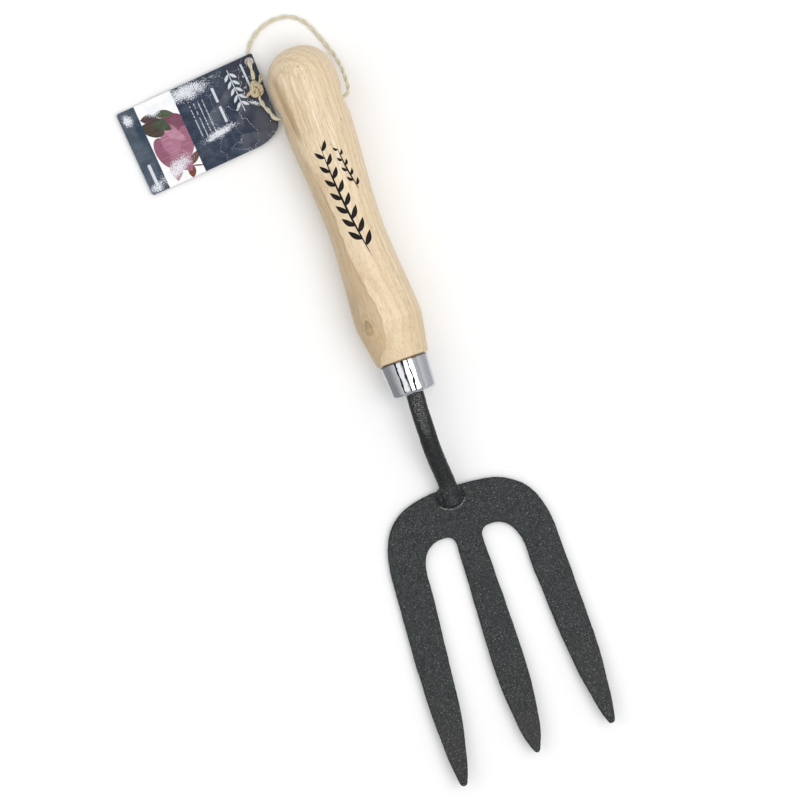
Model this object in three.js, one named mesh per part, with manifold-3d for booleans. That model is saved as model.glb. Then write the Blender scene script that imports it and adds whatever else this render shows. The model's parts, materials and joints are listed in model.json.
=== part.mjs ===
// Three-tine hand fork: a turned ash handle, a ferrule, a cranked neck welded to a flat forged
// head, a twine hanging loop through the butt and a card label on the twine.
// Millimetres, +Z up. The fork lies face up: the handle's axis is along Y, the butt at +Y,
// the tines at -Y, and the origin is on the flat back of the head, under the weld.
import * as THREE from 'three';
import { mergeVertices } from 'three/addons/utils/BufferGeometryUtils.js';
import Module from 'manifold-3d';

const wasm = await Module();
wasm.setup();

// Driving dimensions
const GAP = 0.3;                // clearance between touching pieces
const HANDLE_RADIUS = 14.9;     // largest, at the butt bulb
const HANDLE_LENGTH = 140;      // butt to the shoulder at the ferrule
const BUTT_Y = 207.5;
const AXIS_Z = HANDLE_RADIUS;   // the bulb rests on the ground
const SIDES = 32;               // facets round the turned parts

const CROSS_HOLE_FROM_BUTT = 27.1;
const CROSS_HOLE_RADIUS = 3.25;
const COUNTERSINK_RADIUS = 7;
const COUNTERSINK_DEPTH = 4;

const FERRULE_LENGTH = 15;
const FERRULE_TOP_RADIUS = 10.5;
const FERRULE_FOOT_RADIUS = 9.7;
const FERRULE_EDGE = 1.8;       // rounded lower edge
const FERRULE_WALL = 0.8;

const ROD_RADIUS = 3.8;
const TANG_LENGTH = 56;
const TANG_TIP_RADIUS = 2.5;

const PLATE = 3;                // head thickness at the root
const TIP_PLATE = 2.4;          // and at the tips
const HEAD_YAW = 1.95;          // degrees, the head sits slightly turned on its neck
const HEAD_PIVOT = [0.85, -14.85, 0];  // between the slot roots
const TINE_RISE = 6;            // the tips curve up by this much
const CURVE_START = 2;          // below the pivot, where the flat root ends
const CENTRE_TIP = 94.6;        // tip distances below the pivot
const LEFT_TIP = 98.9;
const RIGHT_TIP = 92.5;
const TIP_RADIUS = 1.7;

const TWINE_RADIUS = 0.85;
const CARD_LENGTH = 63.4;
const CARD_WIDTH = 37.8;
const CARD = 0.5;               // card thickness
const CARD_YAW = 4.8;           // degrees, in plan
const CARD_TILT = 2.1;          // degrees, the end on the twine stands off the ground
const CARD_HOLE_RADIUS = 1.9;
const CARD_HOLE = [-18.75, 28.5, 2.6];  // centre, from the cross hole in plan
const CARD_HOLE_INSET = new THREE.Vector2(2.5, 3);  // from the end and from the top edge

const HOLE_Y = BUTT_Y - CROSS_HOLE_FROM_BUTT;
const SHOULDER_Y = BUTT_Y - HANDLE_LENGTH;
const FERRULE_FOOT_Y = SHOULDER_Y - GAP - FERRULE_LENGTH;
const TENON_END_Y = FERRULE_FOOT_Y + FERRULE_WALL + GAP;

// Colours and finishes
const WOOD = new THREE.MeshStandardMaterial({ color: 0xd9b98a, roughness: 0.45, metalness: 0 });
const BRIGHT = new THREE.MeshStandardMaterial({ color: 0xd6d8da, roughness: 0.12, metalness: 1 });
const COATED = new THREE.MeshStandardMaterial({ color: 0x33373a, roughness: 0.42, metalness: 0.3 });
const TWINE = new THREE.MeshStandardMaterial({ color: 0xc9b48a, roughness: 0.9, metalness: 0 });
const PRINTED = new THREE.MeshStandardMaterial({ color: 0x3a4658, roughness: 0.25, metalness: 0 });

const object = new THREE.Group();

function add(name, geometry, material, parent = object) {
  const mesh = new THREE.Mesh(geometry, material);
  mesh.name = name;
  parent.add(mesh);
  return mesh;
}

// A closed geometry as a solid that can be joined and cut
function solid(geometry) {
  const bare = geometry.clone();
  bare.deleteAttribute('normal');
  bare.deleteAttribute('uv');
  const merged = mergeVertices(bare, 1e-4);
  const index = merged.index.array;
  const triangles = [];
  for (let i = 0; i < index.length; i += 3) {
    const [a, b, c] = [index[i], index[i + 1], index[i + 2]];
    if (a !== b && b !== c && c !== a) triangles.push(a, b, c);
  }
  return new wasm.Manifold(new wasm.Mesh({
    numProp: 3,
    vertProperties: merged.attributes.position.array,
    triVerts: new Uint32Array(triangles),
  }));
}

function geometryOf(shape) {
  const mesh = shape.getMesh();
  const geometry = new THREE.BufferGeometry();
  geometry.setAttribute('position', new THREE.BufferAttribute(mesh.vertProperties, 3));
  geometry.setIndex(new THREE.BufferAttribute(mesh.triVerts, 1));
  return geometry;
}

// A profile of [radius, y] pairs turned about the handle's axis
function turned(profile) {
  const points = profile.map(([radius, y]) => new THREE.Vector2(radius, y));
  return new THREE.LatheGeometry(points, SIDES).translate(0, 0, AXIS_Z);
}

function pairs(curve, divisions) {
  return curve.getPoints(divisions).map((point) => [point.x, point.y]);
}

// A round bar along a smooth path
function bar(points, radius, sides, steps) {
  const section = new THREE.Shape();
  section.absarc(0, 0, radius, 0, 2 * Math.PI);
  const path = new THREE.CatmullRomCurve3(points.map((point) => new THREE.Vector3(...point)));
  return new THREE.ExtrudeGeometry(section, {
    extrudePath: path,
    steps,
    curveSegments: sides / 2,
    bevelEnabled: false,
  });
}

// Handle: domed butt, bulb, waist, lower swell with a crisp arris, and a tenon for the ferrule
function handleGeometry() {
  const at = (distance, radius) => new THREE.Vector2(radius, BUTT_Y - distance);
  const dome = new THREE.CubicBezierCurve(at(0, 0), at(0, 8), at(5, HANDLE_RADIUS), at(16.5, HANDLE_RADIUS));
  const grip = new THREE.SplineCurve([
    at(16.5, HANDLE_RADIUS), at(27, 14.65), at(44, 13.9), at(61, 12.6),
    at(82, 11.7), at(99, 12.7), at(116, 14.05), at(123, 14.4),
  ]);
  const neckdown = new THREE.SplineCurve([at(123, 14.4), at(129, 13.35), at(HANDLE_LENGTH, 11.4)]);
  const inside = FERRULE_WALL + GAP;
  const profile = [
    ...pairs(dome, 9),
    ...pairs(grip, 20).slice(1),
    ...pairs(neckdown, 4).slice(1),
    [FERRULE_TOP_RADIUS - inside, SHOULDER_Y],
    [FERRULE_FOOT_RADIUS - inside, TENON_END_Y + FERRULE_EDGE],
    [FERRULE_FOOT_RADIUS - inside - FERRULE_EDGE, TENON_END_Y],
    [0, TENON_END_Y],
  ].reverse();
  const boreLength = TANG_LENGTH + 2 * GAP;
  const bore = new THREE.CylinderGeometry(TANG_TIP_RADIUS + GAP, ROD_RADIUS + GAP, boreLength, 12)
    .translate(0, TENON_END_Y + boreLength / 2 - GAP, AXIS_Z);
  const cross = new THREE.CylinderGeometry(CROSS_HOLE_RADIUS, CROSS_HOLE_RADIUS, 4 * HANDLE_RADIUS, 16)
    .rotateZ(Math.PI / 2)
    .translate(0, HOLE_Y, AXIS_Z);
  let wood = solid(turned(profile)).subtract(solid(bore)).subtract(solid(cross));
  for (const side of [-1, 1]) {
    const sink = new THREE.CylinderGeometry(COUNTERSINK_RADIUS, CROSS_HOLE_RADIUS, COUNTERSINK_DEPTH, 16)
      .rotateZ(-side * Math.PI / 2)
      .translate(side * (HANDLE_RADIUS + 0.5 - COUNTERSINK_DEPTH / 2), HOLE_Y, AXIS_Z);
    wood = wood.subtract(solid(sink));
  }
  return geometryOf(wood);
}

// Ferrule: a drawn cup, closed round the rod at its foot
function ferruleGeometry() {
  const top = FERRULE_FOOT_Y + FERRULE_LENGTH;
  const edge = new THREE.EllipseCurve(
    FERRULE_FOOT_RADIUS - FERRULE_EDGE, FERRULE_FOOT_Y + FERRULE_EDGE,
    FERRULE_EDGE, FERRULE_EDGE, -Math.PI / 2, 0,
  );
  const hole = ROD_RADIUS + GAP;
  const profile = [
    [hole, FERRULE_FOOT_Y],
    ...pairs(edge, 4),
    [FERRULE_TOP_RADIUS, top],
    [FERRULE_TOP_RADIUS - FERRULE_WALL, top],
    [FERRULE_FOOT_RADIUS - FERRULE_WALL, FERRULE_FOOT_Y + FERRULE_EDGE + FERRULE_WALL],
    [FERRULE_FOOT_RADIUS - FERRULE_EDGE - FERRULE_WALL / 2, FERRULE_FOOT_Y + FERRULE_WALL],
    [hole, FERRULE_FOOT_Y + FERRULE_WALL],
    [hole, FERRULE_FOOT_Y],
  ];
  return turned(profile);
}

// Neck: a straight start out of the ferrule, a slight bow in plan, and an S-bend down to the head
const NECK_TOP_Y = TENON_END_Y + 4;
const NECK_FOOT = [-0.4, 5.2, 6.2];

function neckBar(radius, reach) {
  const foot = [NECK_FOOT[0], NECK_FOOT[1] - reach, NECK_FOOT[2] - reach / 6];
  return bar([
    [0, NECK_TOP_Y, AXIS_Z], [-0.1, 52, AXIS_Z], [-0.6, 46, AXIS_Z], [-0.9, 37, 14.5],
    [-1.05, 28, 12.7], [-0.7, 20, 9.9], [-0.2, 12, 7.6], foot,
  ], radius, 12, 22);
}

// The space of the head plate and all below it, with the gap that the foot and the bead keep
function belowPlate() {
  return solid(new THREE.BoxGeometry(60, 60, 20).translate(0, 0, PLATE + GAP - 10));
}

function neckGeometry() {
  const tang = new THREE.CylinderGeometry(TANG_TIP_RADIUS, ROD_RADIUS, TANG_LENGTH, 12)
    .translate(0, TENON_END_Y + TANG_LENGTH / 2, AXIS_Z);
  return geometryOf(solid(neckBar(ROD_RADIUS, 0)).add(solid(tang)).subtract(belowPlate()));
}

// Weld: a low dome of metal round the foot of the neck
function weldGeometry() {
  const dome = new THREE.SphereGeometry(1, 20, 12)
    .scale(6, 5.4, 4.2)
    .translate(NECK_FOOT[0] - 0.2, 6.1, PLATE + GAP);
  return geometryOf(solid(dome).subtract(belowPlate()).subtract(solid(neckBar(ROD_RADIUS + GAP, GAP))));
}

// Head: half outlines are given for the right side, with y from the slot roots, tips downwards
function headOutline() {
  const at = (side, x, y) => new THREE.Vector2(side * x, y);
  const shape = new THREE.Shape();
  const outerTine = (side, tip) => [
    [at(side, 36.9, -10.6), at(side, 37.6, -29), at(side, 38.3, -50), at(side, 38.2, 30 - tip),
      at(side, 37.3, 15 - tip), at(side, 36.2, 5 - tip), at(side, 33.9 + TIP_RADIUS, TIP_RADIUS - tip)],
    [at(side, 33.9 - TIP_RADIUS, 1.3 * TIP_RADIUS - tip), at(side, 30.6, 7 - tip), at(side, 28.3, 17 - tip),
      at(side, 26.2, 29 - tip), at(side, 24.5, -50), at(side, 23.2, -33), at(side, 22.1, -18),
      at(side, 21.9, -9.5)],
  ];
  const centreEdge = (side) => [
    at(side, 5.7, 0), at(side, 6.2, -18), at(side, 6.75, -42), at(side, 6.8, -60),
    at(side, 5.4, -76.4), at(side, 4.1, -85), at(side, TIP_RADIUS, 1.2 * TIP_RADIUS - CENTRE_TIP),
  ];
  const trace = (points) => shape.splineThru(points.slice(1));
  const cap = (side, x, tip) => shape.bezierCurveTo(
    side * (x + 0.6 * TIP_RADIUS), -tip, side * (x - 0.9 * TIP_RADIUS), -tip,
    side * (x - TIP_RADIUS), 1.3 * TIP_RADIUS - tip,
  );
  const [rightOut, rightIn] = outerTine(1, RIGHT_TIP);
  const [leftOut, leftIn] = outerTine(-1, LEFT_TIP);
  shape.moveTo(-4.2, 24.3);
  shape.lineTo(4.2, 24.3);
  shape.bezierCurveTo(25, 24.3, 37.1, 17, rightOut[0].x, rightOut[0].y);
  trace(rightOut);
  cap(1, 33.9, RIGHT_TIP);
  trace(rightIn);
  shape.bezierCurveTo(21.6, -1, 17, 4.4, 11.5, 4.4);
  shape.lineTo(9.8, 4.4);
  shape.bezierCurveTo(7, 4.4, 5.7, 2.6, 5.7, 0);
  trace(centreEdge(1));
  shape.bezierCurveTo(0.9, -CENTRE_TIP - 0.2, -0.9, -CENTRE_TIP - 0.2, -TIP_RADIUS, 1.2 * TIP_RADIUS - CENTRE_TIP);
  trace(centreEdge(-1).reverse());
  shape.bezierCurveTo(-5.7, 2.6, -7, 4.4, -9.8, 4.4);
  shape.lineTo(-11.5, 4.4);
  shape.bezierCurveTo(-17, 4.4, -21.6, -1, leftIn.at(-1).x, leftIn.at(-1).y);
  trace([...leftIn].reverse());
  shape.bezierCurveTo(
    -33.9 + 0.9 * TIP_RADIUS, -LEFT_TIP, -33.9 - 0.6 * TIP_RADIUS, -LEFT_TIP,
    leftOut.at(-1).x, leftOut.at(-1).y,
  );
  trace([...leftOut].reverse());
  shape.bezierCurveTo(-37.1, 17, -25, 24.3, -4.2, 24.3);
  return shape;
}

// The head is the outline cut out of a sheet that is flat at the root and curves up to the tips
function headGeometry() {
  const outline = new THREE.ExtrudeGeometry(headOutline(), { depth: 40, curveSegments: 12, bevelEnabled: false })
    .translate(0, 0, -20);
  const rise = (share) => TINE_RISE * share * share;
  const back = [];
  const front = [];
  const stations = 12;
  for (let i = 0; i <= stations; i += 1) {
    const share = i / stations;
    const y = -CURVE_START - share * (LEFT_TIP + 1 - CURVE_START);
    back.push(new THREE.Vector2(y, rise(share)));
    front.unshift(new THREE.Vector2(y, rise(share) + PLATE + (TIP_PLATE - PLATE) * share));
  }
  const side = new THREE.Shape([new THREE.Vector2(30, 0), ...back, ...front, new THREE.Vector2(30, PLATE)]);
  const sheet = new THREE.ExtrudeGeometry(side, { depth: 100, bevelEnabled: false })
    .translate(0, 0, -50)
    .rotateX(Math.PI / 2)
    .rotateZ(Math.PI / 2);
  const head = geometryOf(solid(outline).intersect(solid(sheet)));
  return head.rotateZ(-HEAD_YAW * Math.PI / 180).translate(...HEAD_PIVOT);
}

// Twine: from the knot to the left mouth, through the butt, round the loop on the ground,
// up through the card's hole and back to the knot. Plan offsets are from the cross hole.
const TWINE_ROUTE = [
  [-19.8, 12.4, 5.9], [-19.1, 8.4, 8.8], [-17.6, 4.7, 11.6], [-17.1, 3.2, 12.8], [-16.8, 1.97, 13.6],
  [-16, 0.94, 14.3], [-14.75, 0.24, 14.75], [-13.3, 0, 14.9], [-11.5, 0, 14.9], [11.5, 0, 14.9],
  [13.3, 0, 14.9], [14.75, 0.25, 14.75], [16, 0.96, 14.35], [16.8, 2.03, 13.75], [17.1, 3.3, 13],
  [17.4, 6.8, 10.9], [17.4, 10.7, 8.3], [17.1, 14.8, 5.6], [16.2, 19.4, 3.1], [14.5, 24.6, 1.5],
  [12.5, 29.9, 0.98], [10.4, 34.6, 0.95], [7.3, 38.7, 0.95], [3.1, 41.2, 0.95], [-1.9, 41.9, 0.95],
  [-7.1, 41.1, 0.95], [-11.6, 39.1, 0.95], [-15, 36.4, 0.95], [-17.2, 33.6, 0.95], [-18.05, 31.5, 0.95],
  [-18.3, 30.65, 1.05], [-18.5, 29.83, 1.34], [-18.65, 29.1, 1.81], [-18.75, 28.5, 2.43],
  [-18.8, 27.9, 3.04], [-18.85, 27.17, 3.51], [-18.88, 26.35, 3.8], [-18.9, 25.5, 3.9],
  [-19.1, 22.6, 4], [-19.5, 20.5, 4.3],
];
const KNOT_CENTRE = [-19.9, 16.5, 5.1];
const KNOT_SIZE = [2.9, 3.5, 2];

function onLoop([x, y, z]) {
  return [x, HOLE_Y + y, z];
}

// A stub of twine that stands out of the knot
function tailGeometry(start, end) {
  const place = (offset) => onLoop(KNOT_CENTRE.map((value, axis) => value + offset[axis]));
  return bar([start, end].map(place), 0.8 * TWINE_RADIUS, 8, 4);
}

// Card: a rectangle with small corners, cut a little out of square at the end by the handle
function cardGeometry() {
  const right = CARD_HOLE_INSET.x;
  const top = CARD_HOLE_INSET.y;
  const left = right - CARD_LENGTH;
  const bottom = top - CARD_WIDTH;
  const corner = 1;
  const slant = 2;
  const shape = new THREE.Shape();
  shape.moveTo(left + corner, bottom);
  shape.lineTo(right - slant - 3 * corner, bottom);
  shape.quadraticCurveTo(right - slant, bottom, right - slant, bottom + 3 * corner);
  shape.lineTo(right, top - corner);
  shape.absarc(right - corner, top - corner, corner, 0, Math.PI / 2);
  shape.lineTo(left + corner, top);
  shape.absarc(left + corner, top - corner, corner, Math.PI / 2, Math.PI);
  shape.lineTo(left, bottom + corner);
  shape.absarc(left + corner, bottom + corner, corner, Math.PI, 1.5 * Math.PI);
  const hole = new THREE.Path();
  hole.absarc(0, 0, CARD_HOLE_RADIUS, 0, 2 * Math.PI, true);
  shape.holes.push(hole);
  return new THREE.ExtrudeGeometry(shape, { depth: CARD, curveSegments: 6, bevelEnabled: false })
    .translate(0, 0, -CARD / 2);
}

add('handle', handleGeometry(), WOOD);
add('ferrule', ferruleGeometry(), BRIGHT);
add('neck_rod', neckGeometry(), COATED);
add('weld_bead', weldGeometry(), COATED);
add('fork_head', headGeometry(), COATED);
add('hanging_twine', bar(TWINE_ROUTE.map(onLoop), TWINE_RADIUS, 8, 72), TWINE);

const knot = add('twine_knot', new THREE.SphereGeometry(1, 14, 10), TWINE);
knot.scale.set(...KNOT_SIZE);
knot.position.set(...onLoop(KNOT_CENTRE));
add('twine_tail_long', tailGeometry([2.5, 2.2, 0.5], [3.9, 4.6, -0.3]), TWINE);
add('twine_tail_short', tailGeometry([-3.1, -1.0, 0.2], [-5.2, -2.2, -0.6]), TWINE);

const label = new THREE.Group();
label.position.set(...onLoop(CARD_HOLE));
label.rotation.z = CARD_YAW * Math.PI / 180;
object.add(label);
const card = add('label_card', cardGeometry(), PRINTED, label);
card.rotation.y = -CARD_TILT * Math.PI / 180;

export default object;
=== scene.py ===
"""Three-tine hand fork: turned ash handle, ferrule, cranked neck, forged head, twine loop and card label.

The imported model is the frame: metres, +Y towards the butt, +Z up out of the fork's face.
Shapes are worked out in millimetres and scaled once, when a piece is made.
"""
import json
import math

import bmesh
import bpy
import numpy as np
from mathutils import Matrix, Vector, noise


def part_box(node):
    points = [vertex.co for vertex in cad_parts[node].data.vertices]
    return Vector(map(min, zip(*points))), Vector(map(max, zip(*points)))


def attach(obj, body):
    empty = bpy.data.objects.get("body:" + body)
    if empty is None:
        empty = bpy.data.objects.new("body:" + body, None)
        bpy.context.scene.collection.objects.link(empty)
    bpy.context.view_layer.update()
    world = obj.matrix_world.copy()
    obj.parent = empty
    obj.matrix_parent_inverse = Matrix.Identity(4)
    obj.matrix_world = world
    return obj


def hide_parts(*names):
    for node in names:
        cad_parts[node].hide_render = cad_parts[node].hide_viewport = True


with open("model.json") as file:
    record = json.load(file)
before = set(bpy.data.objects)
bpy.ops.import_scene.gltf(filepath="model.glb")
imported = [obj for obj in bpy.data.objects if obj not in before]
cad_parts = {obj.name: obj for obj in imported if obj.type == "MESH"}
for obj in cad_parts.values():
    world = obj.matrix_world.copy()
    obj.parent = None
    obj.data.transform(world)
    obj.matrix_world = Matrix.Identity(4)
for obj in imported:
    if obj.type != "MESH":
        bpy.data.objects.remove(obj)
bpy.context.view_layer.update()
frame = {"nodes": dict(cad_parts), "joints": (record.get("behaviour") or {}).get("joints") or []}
scene = bpy.context.scene

MM = 0.001
SEED = 7


def millimetres(point):
    return np.array(point) / MM


joints = {joint["name"]: joint for joint in frame["joints"]}
CROSS_HOLE = millimetres(joints["loop_swing"]["pos_m"])
CARD_HOLE = millimetres(joints["label_swivel"]["pos_m"])
handle_low, handle_high = (millimetres(corner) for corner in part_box("handle"))
ferrule_low, ferrule_high = (millimetres(corner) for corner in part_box("ferrule"))
BUTT_Y = handle_high[1]
AXIS_Z = CROSS_HOLE[2]
PLATE = 3                       # thickness of the head at its root

rng = np.random.default_rng(SEED)


# ---------- lines, rings and pieces

def unit(vectors):
    return vectors / np.linalg.norm(vectors, axis=-1, keepdims=True)


def distances(line):
    """How far along a line each of its points is."""
    return np.append(0, np.cumsum(np.linalg.norm(np.diff(line, axis=0), axis=1)))


def smooth_line(points, steps, power=0.5):
    """A Catmull-Rom line through the points, cut into equal steps; power 0 is uniform, 0.5 centripetal."""
    p = np.array(points, float)
    p = np.vstack([2 * p[0] - p[1], p, 2 * p[-1] - p[-2]])
    dense = []
    for a, b, c, d in zip(p, p[1:], p[2:], p[3:]):
        t1 = np.linalg.norm(b - a) ** power
        t2 = t1 + np.linalg.norm(c - b) ** power
        t3 = t2 + np.linalg.norm(d - c) ** power
        t = np.linspace(t1, t2, 24, endpoint=False)[:, None]
        ab = a + (b - a) * t / t1
        bc = b + (c - b) * (t - t1) / (t2 - t1)
        cd = c + (d - c) * (t - t2) / (t3 - t2)
        abc = ab + (bc - ab) * t / t2
        bcd = bc + (cd - bc) * (t - t1) / (t3 - t1)
        dense.append(abc + (bcd - abc) * (t - t1) / (t2 - t1))
    dense = np.vstack(dense + [p[-2][None]])
    along = distances(dense)
    even = np.linspace(0, along[-1], steps + 1)
    return np.column_stack([np.interp(even, along, dense[:, axis]) for axis in range(p.shape[1])])


def sideways_and_up(line):
    """Two directions across a line at each of its points, which turn as little as they can."""
    tangents = unit(np.gradient(line, axis=0))
    start = Vector(tangents[0]).orthogonal().normalized()
    sideways = [np.array(start)]
    for tangent in tangents[1:]:
        turned_side = sideways[-1] - tangent * np.dot(sideways[-1], tangent)
        sideways.append(unit(turned_side))
    sideways = np.array(sideways)
    return sideways, np.cross(tangents, sideways)


def band(near, far, sides):
    """Quads between two rings of points, which start at near and far in the list of points."""
    return [(near + i, near + (i + 1) % sides, far + (i + 1) % sides, far + i) for i in range(sides)]


def skin(rings):
    """Quads between successive rings of points, with a fan over each end."""
    rings = [np.asarray(ring, float) for ring in rings]
    sides = len(rings[0])
    verts = np.vstack(rings + [rings[0].mean(0)[None], rings[-1].mean(0)[None]])
    last = (len(rings) - 1) * sides
    faces = []
    for near in range(0, last, sides):
        faces += band(near, near + sides, sides)
    near_centre, far_centre = len(verts) - 2, len(verts) - 1
    for i in range(sides):
        j = (i + 1) % sides
        faces.append((j, i, near_centre))
        faces.append((last + i, last + j, far_centre))
    return verts, faces


def joined(shapes):
    verts, faces, count = [], [], 0
    for shape_verts, shape_faces in shapes:
        verts.append(shape_verts)
        faces += [tuple(i + count for i in face) for face in shape_faces]
        count += len(shape_verts)
    return np.vstack(verts), faces


def rings_about_y(profile, sides):
    """A ring of points about the Y axis for each (distance along, radius) of a profile."""
    angles = np.arange(sides) * 2 * math.pi / sides
    return [np.column_stack([radius * np.sin(angles), np.full(sides, along), radius * np.cos(angles)])
            for along, radius in profile]


def turned(profile, sides):
    """A solid with this profile, turned about the Y axis."""
    return skin(rings_about_y(profile, sides))


def tube(line, radii, sides, roughness=0.0):
    """A round tube along a line; roughness is the share by which the radius wanders."""
    sideways, up = sideways_and_up(line)
    angles = np.arange(sides) * 2 * math.pi / sides
    rings = []
    for centre, side, rise, radius in zip(line, sideways, up, np.broadcast_to(radii, len(line))):
        outward = np.outer(np.cos(angles), side) + np.outer(np.sin(angles), rise)
        reach = radius * (1 + roughness * rng.uniform(-1, 1, sides))
        rings.append(centre + reach[:, None] * outward)
    return skin(rings)


def new_object(name, data):
    obj = bpy.data.objects.new(name, data)
    scene.collection.objects.link(obj)
    return obj


def new_piece(name, shape):
    """An object made of a shape's points, in mm, and its faces."""
    verts, faces = shape
    mesh = bpy.data.meshes.new(name)
    mesh.from_pydata((np.asarray(verts) * MM).tolist(), [], faces)
    work = bmesh.new()
    work.from_mesh(mesh)
    bmesh.ops.recalc_face_normals(work, faces=work.faces)
    work.to_mesh(mesh)
    work.free()
    return new_object(name, mesh)


def settle(obj):
    """Makes the object's modifiers part of its mesh."""
    graph = bpy.context.evaluated_depsgraph_get()
    mesh = bpy.data.meshes.new_from_object(obj.evaluated_get(graph))
    obj.modifiers.clear()
    obj.data = mesh


def cut(obj, cutter_shape):
    cutter = new_piece("cutter", cutter_shape)
    boolean = obj.modifiers.new("cut", "BOOLEAN")
    boolean.operation = "DIFFERENCE"
    boolean.solver = "EXACT"
    boolean.object = cutter
    settle(obj)
    bpy.data.objects.remove(cutter)


def roughen(obj, lumps):
    """Moves each point along its normal by the sum of (amount in mm, size in mm) noises."""
    mesh = obj.data
    count = len(mesh.vertices)
    places = np.empty(count * 3)
    normals = np.empty(count * 3)
    mesh.vertices.foreach_get("co", places)
    mesh.vertices.foreach_get("normal", normals)
    places = places.reshape(-1, 3)
    shift = np.zeros(count)
    for amount, size in lumps:
        scaled = places / (size * MM)
        shift += amount * MM * np.array([noise.noise(Vector(place)) for place in scaled])
    places = places + normals.reshape(-1, 3) * shift[:, None]
    mesh.vertices.foreach_set("co", places.ravel())
    mesh.update()


def dress(obj, body, material, nodes, crisp=None):
    """Gives a made object its shading, its material and its body, and hides the CAD parts that it stands
    for.
    """
    obj.data.materials.clear()
    obj.data.materials.append(material)
    obj.data.shade_smooth()
    if crisp is not None:
        obj.data.set_sharp_from_angle(angle=math.radians(crisp))
    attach(obj, body)
    if nodes:
        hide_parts(*nodes)
    return obj


# ---------- shader nodes

def srgb(red, green, blue):
    """A colour given as 0 to 255 display values, as the linear colour that a shader takes."""
    shares = [value / 255 for value in (red, green, blue)]
    return tuple(s / 12.92 if s <= 0.04045 else ((s + 0.055) / 1.055) ** 2.4 for s in shares) + (1.0,)


class Nodes:
    """Short calls that add a shader node to a tree and give back its output."""

    def __init__(self, tree):
        self.tree = tree

    def put(self, socket, value):
        if isinstance(value, bpy.types.NodeSocket):
            self.tree.links.new(value, socket)
        else:
            socket.default_value = value

    def node(self, kind, sockets, **settings):
        made = self.tree.nodes.new("ShaderNode" + kind)
        for name, value in settings.items():
            setattr(made, name, value)
        for key, value in sockets.items():
            self.put(made.inputs[key], value)
        return made

    def moved(self, vector, shift=(0, 0, 0), turn=0.0, scale=(1, 1, 1), **settings):
        """The vector scaled, turned about Z by degrees and shifted, in that order."""
        sockets = {0: vector, "Location": shift, "Rotation": (0, 0, math.radians(turn)), "Scale": scale}
        return self.node("Mapping", sockets, **settings).outputs[0]

    def split(self, vector):
        return self.node("SeparateXYZ", {0: vector}).outputs

    def joined(self, x, y, z=0.0):
        return self.node("CombineXYZ", {0: x, 1: y, 2: z}).outputs[0]

    def length(self, vector):
        return self.node("VectorMath", {0: vector}, operation="LENGTH").outputs["Value"]

    def math(self, operation, *values):
        return self.node("Math", dict(enumerate(values)), operation=operation).outputs[0]

    def minus(self, first, second):
        return self.math("SUBTRACT", first, second)

    def scaled(self, value, factor, shift):
        return self.math("MULTIPLY_ADD", value, factor, shift)

    def times(self, *values):
        product = values[0]
        for value in values[1:]:
            product = self.math("MULTIPLY", product, value)
        return product

    def about_half(self, value, amount):
        """A noise, which is near 0.5, as a swing of the amount to either side of 0."""
        return self.times(self.minus(value, 0.5), amount)

    def step(self, value, low, high):
        """0 below low, 1 above high, smooth between; low above high turns it round."""
        sockets = {"Value": value, "From Min": low, "From Max": high}
        if low > high:
            sockets.update({"From Min": high, "From Max": low, "To Min": 1.0, "To Max": 0.0})
        return self.node("MapRange", sockets, interpolation_type="SMOOTHSTEP").outputs[0]

    def noise(self, vector, scale, detail=2.0, roughness=0.5, distortion=0.0):
        sockets = {"Vector": vector, "Scale": scale, "Detail": detail, "Roughness": roughness,
                   "Distortion": distortion}
        return self.node("TexNoise", sockets).outputs["Fac"]

    def cells(self, vector, scale):
        """Distance to the nearest of scattered points, and a random value for each."""
        made = self.node("TexVoronoi", {"Vector": vector, "Scale": scale})
        return made.outputs["Distance"], self.split(made.outputs["Color"])[0]

    def mix(self, share, first, second):
        return self.node("Mix", {0: share, 6: first, 7: second}, data_type="RGBA").outputs[2]

    def tint(self, colour, share, tone, *masks):
        """The colour taken towards the tone by the share, where all the masks are 1."""
        return self.mix(self.times(*masks, share), colour, tone)

    def curve(self, value, points):
        """A smooth line through (value, result) points, both between 0 and 1."""
        made = self.node("FloatCurve", {"Value": value})
        line = made.mapping.curves[0]
        while len(line.points) < len(points):
            line.points.new(0.5, 0.5)
        for point, place in zip(line.points, points):
            point.location = place
        made.mapping.update()
        return made.outputs[0]


class Finish(Nodes):
    """A material, with the object's own coordinates in mm."""

    def __init__(self, name, **constants):
        self.material = bpy.data.materials.new(name)
        self.material.use_nodes = True
        super().__init__(self.material.node_tree)
        self.shader = self.tree.nodes["Principled BSDF"]
        for socket, value in constants.items():
            self.set(socket.replace("_", " "), value)
        self.coordinates = self.node("TexCoord", {})
        self.place = self.moved(self.coordinates.outputs["Object"], scale=(1 / MM,) * 3)
        self.x, self.y, self.z = self.split(self.place)

    def set(self, socket, value):
        self.put(self.shader.inputs[socket], value)

    def grain(self, scales, detail=2.0, roughness=0.5):
        """A noise drawn out along the axes that have the smaller scales."""
        return self.noise(self.moved(self.place, scale=scales), 1.0, detail, roughness)

    def bump(self, height, strength, depth):
        """Relief of the given depth in mm."""
        previous = self.shader.inputs["Normal"]
        sockets = {"Height": height, "Strength": strength, "Distance": depth * MM}
        if previous.is_linked:
            sockets["Normal"] = previous.links[0].from_socket
        self.set("Normal", self.node("Bump", sockets).outputs[0])


# ---------- materials

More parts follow.
